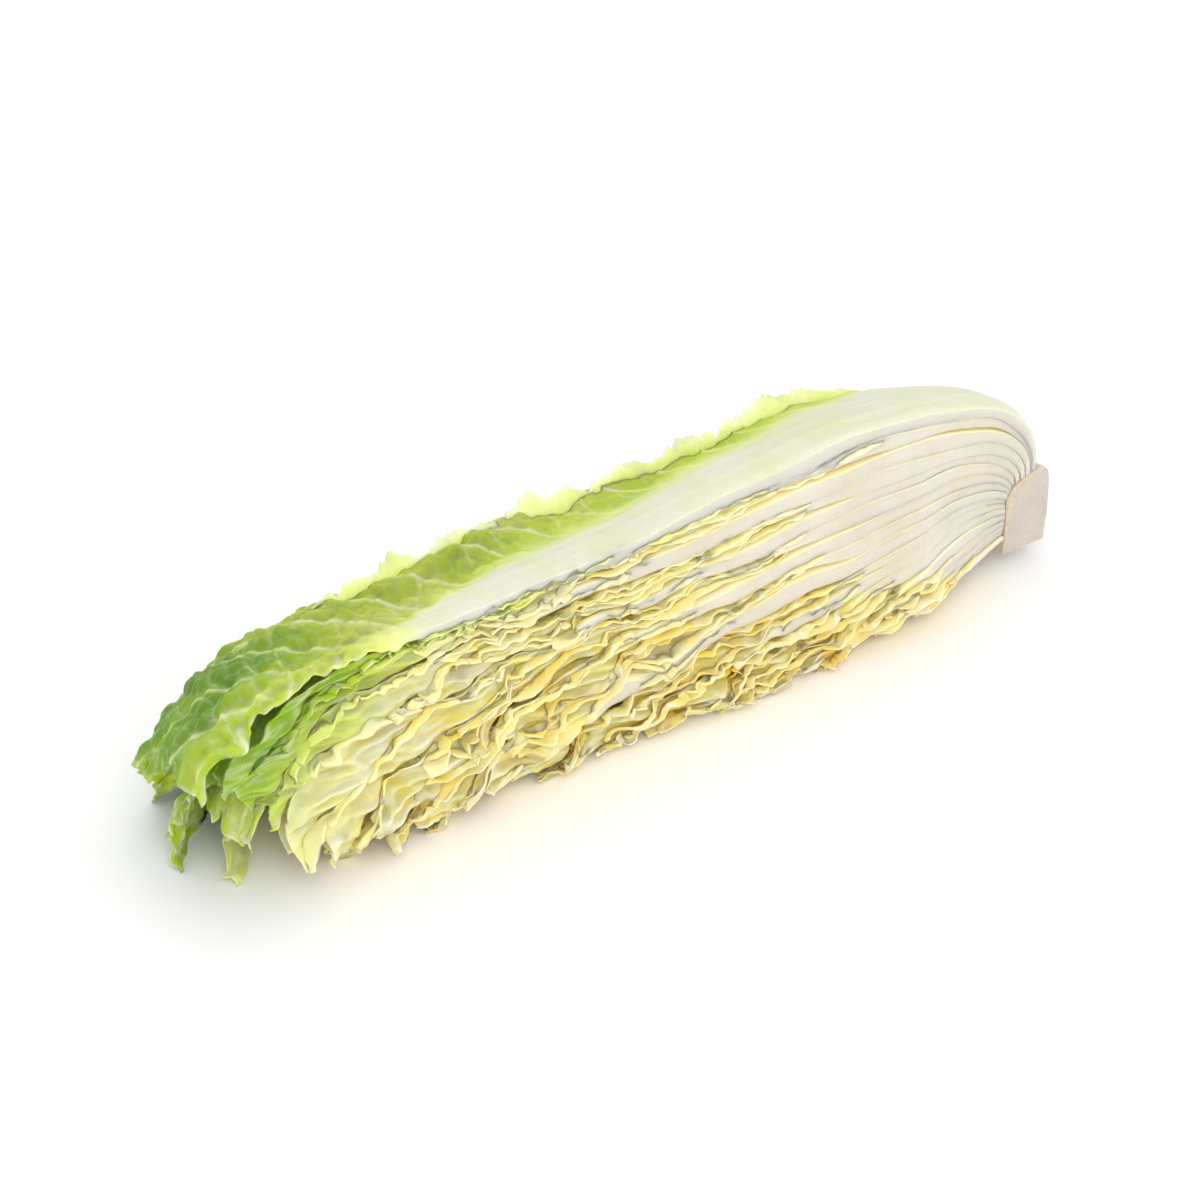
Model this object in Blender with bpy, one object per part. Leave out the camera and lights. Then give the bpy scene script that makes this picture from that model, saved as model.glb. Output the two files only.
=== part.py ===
"""Quarter wedge of a napa (Chinese) cabbage, cut lengthwise.

The head's own axis lies along X with the trimmed butt at +X and the leaf tips
at -X.  One cut face is upright and looks along -Y, the other lies on the table
at z = 0, and the two meet along the head's axis.  Cut leaves go slack, so the
upright face bellies out along its foot and the stem is held just off the table.  Every leaf is a curved sheet reaching from
one cut face to the other, thick and fleshy where it grows from the core and
thin towards its tip; the leaves nest inside each other without touching.
All lengths are in metres.
"""
import bpy
import bmesh
import math

# ------------------------------------------------------------ dimensions
LENGTH = 0.3510            # butt to the longest leaf tip
BACK_FLATNESS = 0.92       # the head is a little narrower across than it is high
AXIS_ROOM = 0.0070         # radius of the tight bud around the head's axis,
AXIS_CLOSED = 0.0020       # and of the crevice left there past the bud
HEART_GIRTH = 0.0620       # leaves of less girth than this close up on the axis
CORE_RADIUS = 0.0260       # how far the leaf bases spread around the core
CORE_SPREAD = 0.62         # how quickly they spread
CORE_LENGTH = 0.0200       # butt to the growing point
LEAF_GAP = 0.0014          # clearance between neighbouring layers, at full girth
CORE_GAP = 0.0008          # clearance between the core and the leaf bases
BLADE_THICKNESS = 0.0011   # sheet thickness at a leaf's tip, at full girth
RIB_HALF_ANGLE = 26.0      # half width of the fleshy midrib, degrees
WEDGE = 90.0               # opening angle between the two cut faces, degrees
CORE_RAISED = 0.0075       # the slack leaves hold the stem this far off the table
RAISED_FROM = 0.0200       # the stem end is level up to here,
RAISED_TO = 0.1100         # and the leaves lie flat on the table from here on
BELLY_DEEP = 0.0300        # how far in behind the cut the slack leaves have shifted
BELLY_HIGH = 0.0850        # and how far up
# the slack leaves lean out of the upright cut along its foot: (at, how far)
BELLY = [(0.0, 0.0), (RAISED_FROM, 0.0), (0.065, 0.0155), (0.120, 0.0125),
         (0.220, 0.0095), (0.320, 0.0130), (0.370, 0.0120)]
# the whole head bends a little towards the upright cut at its leaf end
BEND = [(0.0, 0.0), (0.200, 0.0), (0.280, 0.0040), (0.370, 0.0090)]
SLIM = 0.100               # share of its radius the head loses past its widest part,
SLIM_FROM = 0.0900         # from here
SLIM_TO = 0.2000           # to here

# name, girth (radius of the leaf's outside at the widest part of the head),
# midrib direction in degrees from the upright cut face, tip rounding,
# steps along, steps around
LEAVES = [
    ("outer_leaf_1", 0.0760, 9.0, 0.020, 18, 9),
    ("outer_leaf_2", 0.0700, 66.0, 0.030, 18, 9),
    ("outer_leaf_3", 0.0645, 24.0, 0.026, 18, 9),
    ("middle_leaf_1", 0.0590, 82.0, 0.024, 16, 8),
    ("middle_leaf_2", 0.0535, 10.0, 0.022, 16, 8),
    ("middle_leaf_3", 0.0485, 48.0, 0.022, 16, 8),
    ("middle_leaf_4", 0.0435, 4.0, 0.020, 16, 8),
    ("middle_leaf_5", 0.0390, 74.0, 0.020, 16, 8),
    ("inner_leaf_1", 0.0345, 18.0, 0.018, 14, 7),
    ("inner_leaf_2", 0.0300, 60.0, 0.018, 14, 7),
    ("inner_leaf_3", 0.0260, 6.0, 0.016, 14, 7),
    ("inner_leaf_4", 0.0220, 40.0, 0.014, 14, 7),
    ("heart_leaf_1", 0.0180, 80.0, 0.012, 12, 6),
    ("heart_leaf_2", 0.0140, 12.0, 0.010, 12, 6),
    ("heart_leaf_3", 0.0100, 52.0, 0.010, 12, 6),
    ("heart_leaf_4", 0.0060, 24.0, 0.008, 12, 6),
]
BUD = ("heart_bud", 0.0022, 0.0560, 10, 5)     # name, girth, length, steps

# colour, roughness of each node, outermost first
COLOURS = {
    "core": ((0.86, 0.80, 0.71), 0.42),
    "outer_leaf_1": ((0.50, 0.62, 0.22), 0.42),
    "outer_leaf_2": ((0.53, 0.64, 0.24), 0.42),
    "outer_leaf_3": ((0.58, 0.66, 0.28), 0.43),
    "middle_leaf_1": ((0.70, 0.73, 0.38), 0.44),
    "middle_leaf_2": ((0.76, 0.76, 0.45), 0.44),
    "middle_leaf_3": ((0.82, 0.80, 0.52), 0.45),
    "middle_leaf_4": ((0.84, 0.80, 0.54), 0.45),
    "middle_leaf_5": ((0.85, 0.80, 0.52), 0.45),
    "inner_leaf_1": ((0.86, 0.79, 0.50), 0.46),
    "inner_leaf_2": ((0.86, 0.78, 0.46), 0.46),
    "inner_leaf_3": ((0.87, 0.77, 0.42), 0.46),
    "inner_leaf_4": ((0.87, 0.76, 0.38), 0.47),
    "heart_leaf_1": ((0.88, 0.76, 0.36), 0.47),
    "heart_leaf_2": ((0.88, 0.75, 0.34), 0.47),
    "heart_leaf_3": ((0.88, 0.74, 0.32), 0.48),
    "heart_leaf_4": ((0.88, 0.73, 0.30), 0.48),
    "heart_bud": ((0.89, 0.75, 0.33), 0.48),
}

# how far each layer reaches, how bluntly it turns in at the tip, how much of
# its radius it loses there: all as functions of the layer's girth
REACH = [(0.0, 0.058), (0.005, 0.080), (0.012, 0.126), (0.025, 0.198),
         (0.040, 0.272), (0.052, 0.316), (0.060, 0.333), (0.070, 0.345),
         (0.076, LENGTH)]
BLUNTNESS = [(0.0, 1.8), (0.012, 2.0), (0.025, 2.8), (0.040, 4.6),
             (0.052, 6.5), (0.060, 10.0), (0.070, 18.0), (0.076, 28.0)]
TURN_IN = [(0.0, 0.94), (0.025, 0.95), (0.045, 0.90), (0.060, 0.66),
           (0.076, 0.34)]
AXIS_AT = [(0.0, AXIS_ROOM), (0.050, AXIS_ROOM), (0.130, AXIS_CLOSED),
           (0.360, 0.6 * AXIS_CLOSED)]
BASE_AT = [(0.0, CORE_LENGTH), (0.030, CORE_LENGTH), (0.045, 0.0168),
           (0.060, 0.0110), (0.076, 0.0050)]
SHOULDER = [(0.0, 1.0), (0.025, 0.86), (0.050, 0.56), (0.076, 0.42)]



def along(table, v):
    """Straight-line interpolation in a table of (at, value) pairs."""
    if v <= table[0][0]:
        return table[0][1]
    for (a, fa), (b, fb) in zip(table, table[1:]):
        if v <= b:
            return fa + (fb - fa) * (v - a) / (b - a)
    return table[-1][1]


def layer_radius(girth, t):
    """Distance from the head's axis of the layer of this girth, t from the butt."""
    t0 = along(BASE_AT, girth)
    base = CORE_RADIUS * math.tanh(CORE_SPREAD * girth / CORE_RADIUS)
    run = 0.030 + 1.05 * girth
    x = min(1.0, max(0.0, (t - t0) / run))
    rise = (1.0 - (1.0 - x) ** 2) ** along(SHOULDER, girth)
    body = base + (girth - base) * rise
    end = along(REACH, girth)
    turn = along(TURN_IN, girth) * min(1.0, max(0.0, t / end)) ** along(BLUNTNESS, girth)
    # only the heart closes up on the axis past the bud
    slack = max(0.0, 1.0 - girth / HEART_GIRTH)
    k = min(1.0, max(0.0, (t - SLIM_FROM) / (SLIM_TO - SLIM_FROM)))
    body *= 1.0 - SLIM * k * k * (3.0 - 2.0 * k)
    return AXIS_ROOM - (AXIS_ROOM - along(AXIS_AT, t)) * slack + body * (1.0 - turn)


def place(t, r, phi):
    """Head coordinates to a point; phi in degrees from the upright cut."""
    a = math.radians(phi)
    c, s = math.cos(a), math.sin(a)
    if phi <= 0.0:
        c, s = 1.0, 0.0
    elif phi >= WEDGE:
        c, s = 0.0, 1.0
    y, z = r * s * BACK_FLATNESS, r * c
    y -= (along(BELLY, t) * max(0.0, 1.0 - z / BELLY_HIGH)
          * math.exp(-y / BELLY_DEEP)) + along(BEND, t)
    k = min(1.0, max(0.0, (t - RAISED_FROM) / (RAISED_TO - RAISED_FROM)))
    return (-t, y, z + CORE_RAISED * (1.0 - k * k * (3.0 - 2.0 * k)))


def loft_shell(name, outer, inner):
    """Closed body between two equally sized grids of points."""
    bm = bmesh.new()
    ni, nj = len(outer), len(outer[0])
    vo = [[bm.verts.new(p) for p in row] for row in outer]
    vi = [[bm.verts.new(p) for p in row] for row in inner]
    for i in range(ni - 1):
        for j in range(nj - 1):
            bm.faces.new((vo[i][j], vo[i][j + 1], vo[i + 1][j + 1], vo[i + 1][j]))
            bm.faces.new((vi[i][j], vi[i + 1][j], vi[i + 1][j + 1], vi[i][j + 1]))
    for i in range(ni - 1):
        bm.faces.new((vo[i][0], vo[i + 1][0], vi[i + 1][0], vi[i][0]))
        bm.faces.new((vo[i][-1], vi[i][-1], vi[i + 1][-1], vo[i + 1][-1]))
    for j in range(nj - 1):
        bm.faces.new((vo[0][j], vi[0][j], vi[0][j + 1], vo[0][j + 1]))
        bm.faces.new((vo[-1][j], vo[-1][j + 1], vi[-1][j + 1], vi[-1][j]))
    bmesh.ops.recalc_face_normals(bm, faces=bm.faces)
    mesh = bpy.data.meshes.new(name)
    bm.to_mesh(mesh)
    bm.free()
    return mesh


def leaf_mesh(name, girth, inward, rib, rounding, n_along, n_around):
    """One leaf: its outside lies on the layer of its girth, its inside a rib's
    thickness further in; 'inward' is the girth of the next layer."""
    t0 = along(BASE_AT, girth)
    t1 = along(REACH, girth)
    band = girth - inward - LEAF_GAP
    outer, inner = [], []
    for i in range(n_along + 1):
        k = i / n_along
        s = 0.5 * k ** 1.6 + 0.5 * (1.0 - (1.0 - k) ** 1.3)
        row_o, row_i = [], []
        for j in range(n_around + 1):
            phi = WEDGE * j / n_around
            off = (phi - rib) / WEDGE
            end = t1 - rounding * off * off
            # leaves spring from the core along its rounded end
            t = t0 + (end - t0) * s
            width = RIB_HALF_ANGLE * (1.0 - 0.75 * s)
            mid = math.exp(-(abs(phi - rib) / width) ** 2)
            fleshy = max(0.0, 1.0 - s / 0.22)
            share = fleshy + (1.0 - fleshy) * mid * (1.0 - s) ** 0.6
            thick = BLADE_THICKNESS + (band - BLADE_THICKNESS) * min(1.0, share)
            row_o.append(place(t, layer_radius(girth, t), phi))
            start = along(BASE_AT, girth - thick)
            t = start + (end - start) * s
            row_i.append(place(t, layer_radius(girth - thick, t), phi))
        outer.append(row_o)
        inner.append(row_i)
    return loft_shell(name, outer, inner)


def bud_mesh(name, girth, length, n_along, n_around):
    """The tight bud on the head's axis: a tapering quarter round."""
    bm = bmesh.new()
    loop = []
    for i in range(n_along + 1):
        k = i / n_along
        t = CORE_LENGTH + (length - CORE_LENGTH) * k
        r = (layer_radius(girth, t) - LEAF_GAP) * (1.0 - 0.55 * k ** 3)
        loop.append((t, r))
    start = bm.verts.new(place(loop[0][0], 0.0, 0.0))
    ends = bm.verts.new(place(loop[-1][0], 0.0, 0.0))
    rows = [[bm.verts.new(place(t, r, WEDGE * j / n_around))
             for j in range(n_around + 1)] for t, r in loop]
    for a, b in zip(rows, rows[1:]):
        for j in range(n_around):
            bm.faces.new((a[j], a[j + 1], b[j + 1], b[j]))
    for j in range(n_around):
        bm.faces.new((start, rows[0][j + 1], rows[0][j]))
        bm.faces.new((ends, rows[-1][j], rows[-1][j + 1]))
    bm.faces.new([start] + [row[0] for row in rows] + [ends])
    bm.faces.new([ends] + [row[-1] for row in reversed(rows)] + [start])
    bmesh.ops.recalc_face_normals(bm, faces=bm.faces)
    mesh = bpy.data.meshes.new(name)
    bm.to_mesh(mesh)
    bm.free()
    return mesh


def core_mesh(name):
    """The solid stem: its outline follows the leaf bases, and its trimmed butt
    is a flat cut, slightly dished at the rim."""
    outline = [(0.0, 0.0), (0.0, 0.0275), (0.0014, 0.0292)]
    n = 14
    for i in range(n):
        girth = 0.0760 * (1.0 - i / (n - 1))
        t = along(BASE_AT, girth)
        r = AXIS_ROOM + CORE_RADIUS * math.tanh(CORE_SPREAD * girth / CORE_RADIUS)
        outline.append((t - CORE_GAP, r - CORE_GAP))
    outline.append((CORE_LENGTH - CORE_GAP, 0.0))
    bm = bmesh.new()
    steps = 9
    rows = []
    for t, r in outline:
        if r == 0.0:
            rows.append([bm.verts.new(place(t, 0.0, 0.0))])
        else:
            rows.append([bm.verts.new(place(t, r, WEDGE * j / steps))
                         for j in range(steps + 1)])
    for a, b in zip(rows, rows[1:]):
        for j in range(steps):
            if len(a) == 1:
                bm.faces.new((a[0], b[j + 1], b[j]))
            elif len(b) == 1:
                bm.faces.new((a[j], a[j + 1], b[0]))
            else:
                bm.faces.new((a[j], a[j + 1], b[j + 1], b[j]))
    bm.faces.new([row[0] for row in rows])
    bm.faces.new([row[-1] for row in reversed(rows)])
    bmesh.ops.recalc_face_normals(bm, faces=bm.faces)
    mesh = bpy.data.meshes.new(name)
    bm.to_mesh(mesh)
    bm.free()
    return mesh


def material(name):
    colour, rough = COLOURS[name]
    mat = bpy.data.materials.new(name + "_skin")
    mat.use_nodes = True
    shader = mat.node_tree.nodes["Principled BSDF"]
    shader.inputs["Base Color"].default_value = (colour[0], colour[1], colour[2], 1.0)
    shader.inputs["Roughness"].default_value = rough
    shader.inputs["Metallic"].default_value = 0.0
    mat.diffuse_color = (colour[0], colour[1], colour[2], 1.0)
    return mat


for old in list(bpy.data.objects):
    bpy.data.objects.remove(old, do_unlink=True)

home = bpy.data.collections.new("napa_cabbage_quarter")
bpy.context.scene.collection.children.link(home)


def add(name, mesh):
    obj = bpy.data.objects.new(name, mesh)
    mesh.materials.append(material(name))
    home.objects.link(obj)
    return obj


add("core", core_mesh("core"))
girths = [leaf[1] for leaf in LEAVES] + [BUD[1]]
for (name, girth, rib, rounding, n_along, n_around), nxt in zip(LEAVES, girths[1:]):
    add(name, leaf_mesh(name, girth, nxt, rib, rounding, n_along, n_around))
add(BUD[0], bud_mesh(*BUD))

# the origin goes to the middle of the footprint, on the table
points = [v.co for obj in home.objects for v in obj.data.vertices]
shift = [-0.5 * (min(p[i] for p in points) + max(p[i] for p in points)) for i in (0, 1)]
for obj in home.objects:
    for v in obj.data.vertices:
        v.co.x += shift[0]
        v.co.y += shift[1]
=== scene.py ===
import bpy
import bmesh
import math
import numpy as np
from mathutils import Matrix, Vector


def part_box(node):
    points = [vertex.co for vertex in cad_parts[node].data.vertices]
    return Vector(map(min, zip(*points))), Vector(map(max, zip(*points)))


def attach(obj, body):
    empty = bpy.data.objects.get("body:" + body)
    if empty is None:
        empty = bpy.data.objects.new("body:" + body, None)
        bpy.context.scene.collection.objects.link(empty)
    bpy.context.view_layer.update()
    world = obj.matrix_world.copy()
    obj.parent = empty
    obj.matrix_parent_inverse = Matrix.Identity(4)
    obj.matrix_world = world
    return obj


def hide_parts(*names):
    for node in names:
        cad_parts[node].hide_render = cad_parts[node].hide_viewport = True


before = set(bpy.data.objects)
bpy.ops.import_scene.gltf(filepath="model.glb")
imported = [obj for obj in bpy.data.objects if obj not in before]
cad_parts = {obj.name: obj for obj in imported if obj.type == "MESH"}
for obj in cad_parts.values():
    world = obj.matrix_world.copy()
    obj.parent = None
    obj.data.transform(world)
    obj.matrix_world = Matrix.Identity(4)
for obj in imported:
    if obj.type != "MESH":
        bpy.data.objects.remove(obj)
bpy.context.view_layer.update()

# ----------------------------------------------------------------- the head
LENGTH = 0.3510
FLAT = 0.92                      # head narrower across than high
LIFT = [(0.0, 0.0070), (0.050, 0.0070), (0.130, 0.0020), (0.360, 0.0012)]
CORE_R = 0.0260
SPREAD = 0.62
CORE_L = 0.0200
CORE_RAISED = 0.0075
RAISED_FROM, RAISED_TO = 0.0200, 0.1100
BELLY_DEEP, BELLY_HIGH = 0.0300, 0.0850
lo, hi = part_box("core")
X_BUTT = float(hi[0])
Y_CUT = float(lo[1])

REACH = [(0.0, 0.058), (0.005, 0.080), (0.012, 0.126), (0.025, 0.198),
         (0.040, 0.272), (0.052, 0.316), (0.060, 0.333), (0.070, 0.345),
         (0.076, LENGTH)]
BLUNT = [(0.0, 1.8), (0.012, 2.0), (0.025, 2.8), (0.040, 4.6),
         (0.052, 6.5), (0.060, 10.0), (0.070, 18.0), (0.076, 28.0)]
TURN_IN = [(0.0, 0.94), (0.025, 0.95), (0.045, 0.90), (0.060, 0.66),
           (0.076, 0.34)]
BASE_AT = [(0.0, CORE_L), (0.030, CORE_L), (0.045, 0.0168),
           (0.060, 0.0110), (0.076, 0.0050)]
SHOULDER = [(0.0, 1.0), (0.025, 0.86), (0.050, 0.56), (0.076, 0.42)]
BELLY = [(0.0, 0.0), (RAISED_FROM, 0.0), (0.065, 0.0155), (0.120, 0.0125),
         (0.220, 0.0095), (0.320, 0.0130), (0.370, 0.0120)]
BEND = [(0.0, 0.0), (0.200, 0.0), (0.280, 0.0040), (0.370, 0.0090)]
SLIM, SLIM_FROM, SLIM_TO = 0.100, 0.090, 0.200


def smooth(a, b, x):
    k = np.clip((x - a) / (b - a), 0.0, 1.0)
    return k * k * (3 - 2 * k)


def along(table, v):
    xs = [p[0] for p in table]
    ys = [p[1] for p in table]
    return np.interp(v, xs, ys)


def layer_radius(girth, t):
    """Distance from the head's axis; girth and t may be arrays."""
    girth = np.asarray(girth, float)
    t = np.asarray(t, float)
    t0 = along(BASE_AT, girth)
    base = CORE_R * np.tanh(SPREAD * girth / CORE_R)
    run = 0.030 + 1.05 * girth
    x = np.clip((t - t0) / run, 0.0, 1.0)
    rise = (1.0 - (1.0 - x) ** 2) ** along(SHOULDER, girth)
    body = base + (girth - base) * rise
    end = along(REACH, girth)
    turn = along(TURN_IN, girth) * np.clip(t / end, 0.0, 1.2) ** along(BLUNT, girth)
    # only the heart closes up on the axis past the bud
    lift = LIFT[0][1] - (LIFT[0][1] - along(LIFT, t)) * np.clip(1.0 - girth / 0.062, 0.0, 1.0)
    body = body * (1.0 - SLIM * smooth(SLIM_FROM, SLIM_TO, t))
    return lift + body * np.clip(1.0 - turn, 0.02, 1.0)


def wavy(girth, t, phi):
    """The same, with leaf bases of uneven thickness and slack drapes further
    out.  Neighbouring layers move together, so they still can't cross."""
    grow = smooth(0.02, 0.06, t)
    g = girth + grow * (0.0021 * noise(girth / 0.0105, t / 0.060, 301)
                        + 0.0008 * noise(girth / 0.0052, t / 0.027, 302))
    loose = smooth(0.05 + 0.8 * girth, 0.09 + 2.6 * girth, t)
    v = np.radians(phi) * (0.006 + girth)
    loose = loose * (1.0 - 0.75 * smooth(0.055, 0.074, girth))
    g = g + loose * (0.0030 * noise3(t / 0.030, girth / 0.0115, v / 0.018, 311)
                     + 0.0011 * noise3(t / 0.0115, girth / 0.0050, v / 0.0085, 312))
    return layer_radius(np.maximum(g, 0.0005), t)


def sway(P, firm=0.0):
    """Loose parts of the head lean out of the upright cut in soft folds."""
    t, y, z = -P[..., 0], P[..., 1], P[..., 2]
    r = np.sqrt(np.maximum(y, 0) ** 2 + z ** 2)
    loose = smooth(0.055 + 0.8 * r, 0.10 + 2.4 * r, t) * (1 - smooth(0.068, 0.078, r))
    q = np.exp(-np.maximum(y, 0.0) / 0.011)
    n1 = noise(t / 0.024, z / 0.0115 + 0.35 * noise(t / 0.05, 0 * t, 7), 401)
    n2 = noise(t / 0.0100, z / 0.0046, 402)
    n3 = noise(t / 0.030, z / 0.014, 403)
    loose = loose * (0.35 + 0.65 * smooth(0.0, 0.012, z)) * (1.0 - 0.75 * firm)
    out = loose * q * (0.0008 + 0.0042 * n1 + 0.0017 * n2)
    slide = loose * q * (0.0040 * n3)
    return np.stack([-(t + slide), y - out, z], -1)


def settle(P):
    """Straight head coordinates (-t, out from the cut, up) to the slack head
    lying on the table, in the part's frame."""
    t, y, z = -P[..., 0], P[..., 1], P[..., 2]
    lean = along(BELLY, t) * np.clip(1.0 - z / BELLY_HIGH, 0.0, 1.0)
    y2 = y - lean * np.exp(-np.maximum(y, -0.004) / BELLY_DEEP) - along(BEND, t)
    k = np.clip((t - RAISED_FROM) / (RAISED_TO - RAISED_FROM), 0.0, 1.0)
    z2 = z + CORE_RAISED * (1.0 - k * k * (3.0 - 2.0 * k))
    return np.stack([X_BUTT - t, Y_CUT + y2, z2], -1)


# ----------------------------------------------------------------- noise
def _hash(ix, iy, seed):
    h = (ix.astype(np.int64) * 374761393 + iy.astype(np.int64) * 668265263
         + seed * 974634777) & 0xFFFFFFFF
    h = ((h ^ (h >> 13)) * 1274126177) & 0xFFFFFFFF
    h = (h ^ (h >> 16)) & 0xFFFFFFFF
    return h / 4294967295.0


def noise(x, y, seed=0):
    """Smooth gradient noise, about -1 to 1."""
    x, y = np.broadcast_arrays(np.asarray(x, float), np.asarray(y, float))
    ix, iy = np.floor(x), np.floor(y)
    fx, fy = x - ix, y - iy
    ux = fx * fx * fx * (fx * (fx * 6 - 15) + 10)
    uy = fy * fy * fy * (fy * (fy * 6 - 15) + 10)
    out = 0.0
    for dx in (0, 1):
        for dy in (0, 1):
            a = _hash(ix + dx, iy + dy, seed) * 2 * np.pi
            g = np.cos(a) * (fx - dx) + np.sin(a) * (fy - dy)
            out = out + g * (ux if dx else 1 - ux) * (uy if dy else 1 - uy)
    return out * 1.55


def noise3(x, y, z, seed=0):
    """The same in three dimensions."""
    x, y, z = np.broadcast_arrays(np.asarray(x, float), np.asarray(y, float), np.asarray(z, float))
    ix, iy, iz = np.floor(x), np.floor(y), np.floor(z)
    fx, fy, fz = x - ix, y - iy, z - iz
    ux = fx * fx * fx * (fx * (fx * 6 - 15) + 10)
    uy = fy * fy * fy * (fy * (fy * 6 - 15) + 10)
    uz = fz * fz * fz * (fz * (fz * 6 - 15) + 10)
    out = 0.0
    for dz in (0, 1):
        wz = uz if dz else 1 - uz
        for dx in (0, 1):
            wx = ux if dx else 1 - ux
            for dy in (0, 1):
                h = _hash(ix + dx + 57 * (iz + dz), iy + dy - 131 * (iz + dz), seed)
                a = h * 2 * np.pi
                c = (h * 977.0) % 1.0 * 2 - 1
                d = np.sqrt(1 - c * c)
                g = d * np.cos(a) * (fx - dx) + d * np.sin(a) * (fy - dy) + c * (fz - dz)
                out = out + g * wx * (uy if dy else 1 - uy) * wz
    return out * 1.5


def fbm(x, y, seed=0, octaves=4, gain=0.5):
    total, amp, norm = 0.0, 1.0, 0.0
    for k in range(octaves):
        total = total + amp * noise(x * 2 ** k, y * 2 ** k, seed + 17 * k)
        norm += amp
        amp *= gain
    return total / norm


def cells(x, y, seed=0):
    """Distances to the nearest and second nearest seed of a jittered grid."""
    x, y = np.broadcast_arrays(np.asarray(x, float), np.asarray(y, float))
    ix, iy = np.floor(x), np.floor(y)
    f1 = np.full(x.shape, 9.0)
    f2 = np.full(x.shape, 9.0)
    for dx in (-1, 0, 1):
        for dy in (-1, 0, 1):
            cx, cy = ix + dx, iy + dy
            px = cx + 0.12 + 0.76 * _hash(cx, cy, seed)
            py = cy + 0.12 + 0.76 * _hash(cx, cy, seed + 91)
            d = np.sqrt((x - px) ** 2 + (y - py) ** 2)
            f2 = np.where(d < f1, f1, np.minimum(f2, d))
            f1 = np.minimum(f1, d)
    return f1, f2


# ----------------------------------------------------------------- meshes
def grid_normals(P):
    du = np.gradient(P, axis=0)
    dv = np.gradient(P, axis=1)
    n = np.cross(du, dv)
    ln = np.linalg.norm(n, axis=2, keepdims=True)
    n = n / np.maximum(ln, 1e-12)
    return n


def unit(v):
    return v / np.maximum(np.linalg.norm(v, axis=-1, keepdims=True), 1e-12)


class Soup:
    """Collects closed sheets, then makes one mesh with attributes."""

    def __init__(self):
        self.verts, self.faces, self.attr, self.count = [], [], {}, 0

    def points(self, P, attrs, extra=None):
        n = int(np.prod(P.shape[:2]))
        idx = self.count + np.arange(n).reshape(P.shape[:2])
        self.verts.append(settle(P).reshape(-1, 3))
        for k in attrs:
            a = attrs[k] if not extra or k not in extra else extra[k]
            self.attr.setdefault(k, []).append(np.broadcast_to(a, P.shape[:2]).reshape(-1))
        self.count += n
        return idx

    def quads(self, a, b, c, d):
        self.faces.append(np.stack([a, b, c, d], -1).reshape(-1, 4))

    def rim(self, oe, ie, Po, Pi, attrs, cut, turn):
        """The cut edge between the outside and the inside of the sheet."""
        steps = (0.05, 0.30, 0.55, 0.80, 0.96)
        d = Pi - Po
        row = np.stack([Po + d * k for k in steps], 1)
        n = len(Po)
        tt = -row[..., 0]
        across = np.linalg.norm(d, axis=-1)[:, None] * np.array(steps)[None, :]
        dip = 0.00022 * fbm(tt / 0.018, across / 0.0011, 5, 3)
        dip = dip + 0.0004 * fbm(tt / 0.05, across * 0 + 2.0, 6, 2)
        wide = np.clip(np.linalg.norm(d, axis=-1) / 0.002, 0, 1)[:, None]
        crown = np.array([4 * k * (1 - k) for k in steps])[None, :]
        dip = dip + 0.08 * np.linalg.norm(d, axis=-1)[:, None] * crown
        if turn > 0:
            row[..., 1] -= dip * wide
        else:
            row[..., 2] = np.maximum(row[..., 2] - 0.0 * dip, 0.00005)
        at = {k: np.repeat(np.asarray(v)[:, None], len(steps), 1) for k, v in attrs.items()}
        at["cut"] = np.repeat(cut[:, None], len(steps), 1)
        idx = self.points(row, at)
        full = np.concatenate([oe[:, None], idx, ie[:, None]], 1)
        a, b, c, e = full[:-1, :-1], full[1:, :-1], full[1:, 1:], full[:-1, 1:]
        if turn > 0:
            self.quads(a, b, c, e)
        else:
            self.quads(a, e, c, b)

    def sheet(self, outer, inner, attrs, rims=True):
        o = self.points(outer, attrs)
        i = self.points(inner, attrs)
        self.quads(o[:-1, :-1], o[:-1, 1:], o[1:, 1:], o[1:, :-1])
        self.quads(i[:-1, :-1], i[1:, :-1], i[1:, 1:], i[:-1, 1:])
        if rims:
            for col, turn in ((0, 1), (-1, -1)):
                edge = {k: np.broadcast_to(v, outer.shape[:2])[:, col] for k, v in attrs.items()}
                self.rim(o[:, col], i[:, col], outer[:, col], inner[:, col],
                         edge, np.clip((edge["rib"] - 0.40) * 2.4, 0, 1), turn)
        else:
            self.quads(o[:-1, 0], o[1:, 0], i[1:, 0], i[:-1, 0])
            self.quads(o[:-1, -1], i[:-1, -1], i[1:, -1], o[1:, -1])
        self.quads(o[0, :-1], i[0, :-1], i[0, 1:], o[0, 1:])
        self.quads(o[-1, :-1], o[-1, 1:], i[-1, 1:], i[-1, :-1])

    def build(self, name):
        V = np.concatenate(self.verts).astype(np.float32)
        F = np.concatenate(self.faces).astype(np.int32)
        mesh = bpy.data.meshes.new(name)
        mesh.vertices.add(len(V))
        mesh.vertices.foreach_set("co", V.ravel())
        mesh.loops.add(F.size)
        mesh.loops.foreach_set("vertex_index", np.ascontiguousarray(F).ravel())
        mesh.polygons.add(len(F))
        mesh.polygons.foreach_set("loop_start", np.arange(0, F.size, 4, dtype=np.int32))
        mesh.polygons.foreach_set("use_smooth", np.ones(len(F), dtype=bool))
        mesh.update(calc_edges=True)
        for k, parts in self.attr.items():
            a = mesh.attributes.new(k, "FLOAT", "POINT")
            a.data.foreach_set("value", np.concatenate(parts).astype(np.float32))
        mesh.validate()
        return mesh


def head_point(t, r, phi):
    """A point of the straight head; phi in degrees from the upright cut."""
    a = np.radians(phi)
    return np.stack([-t, r * np.sin(a) * FLAT, r * np.cos(a)], -1)


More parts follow.
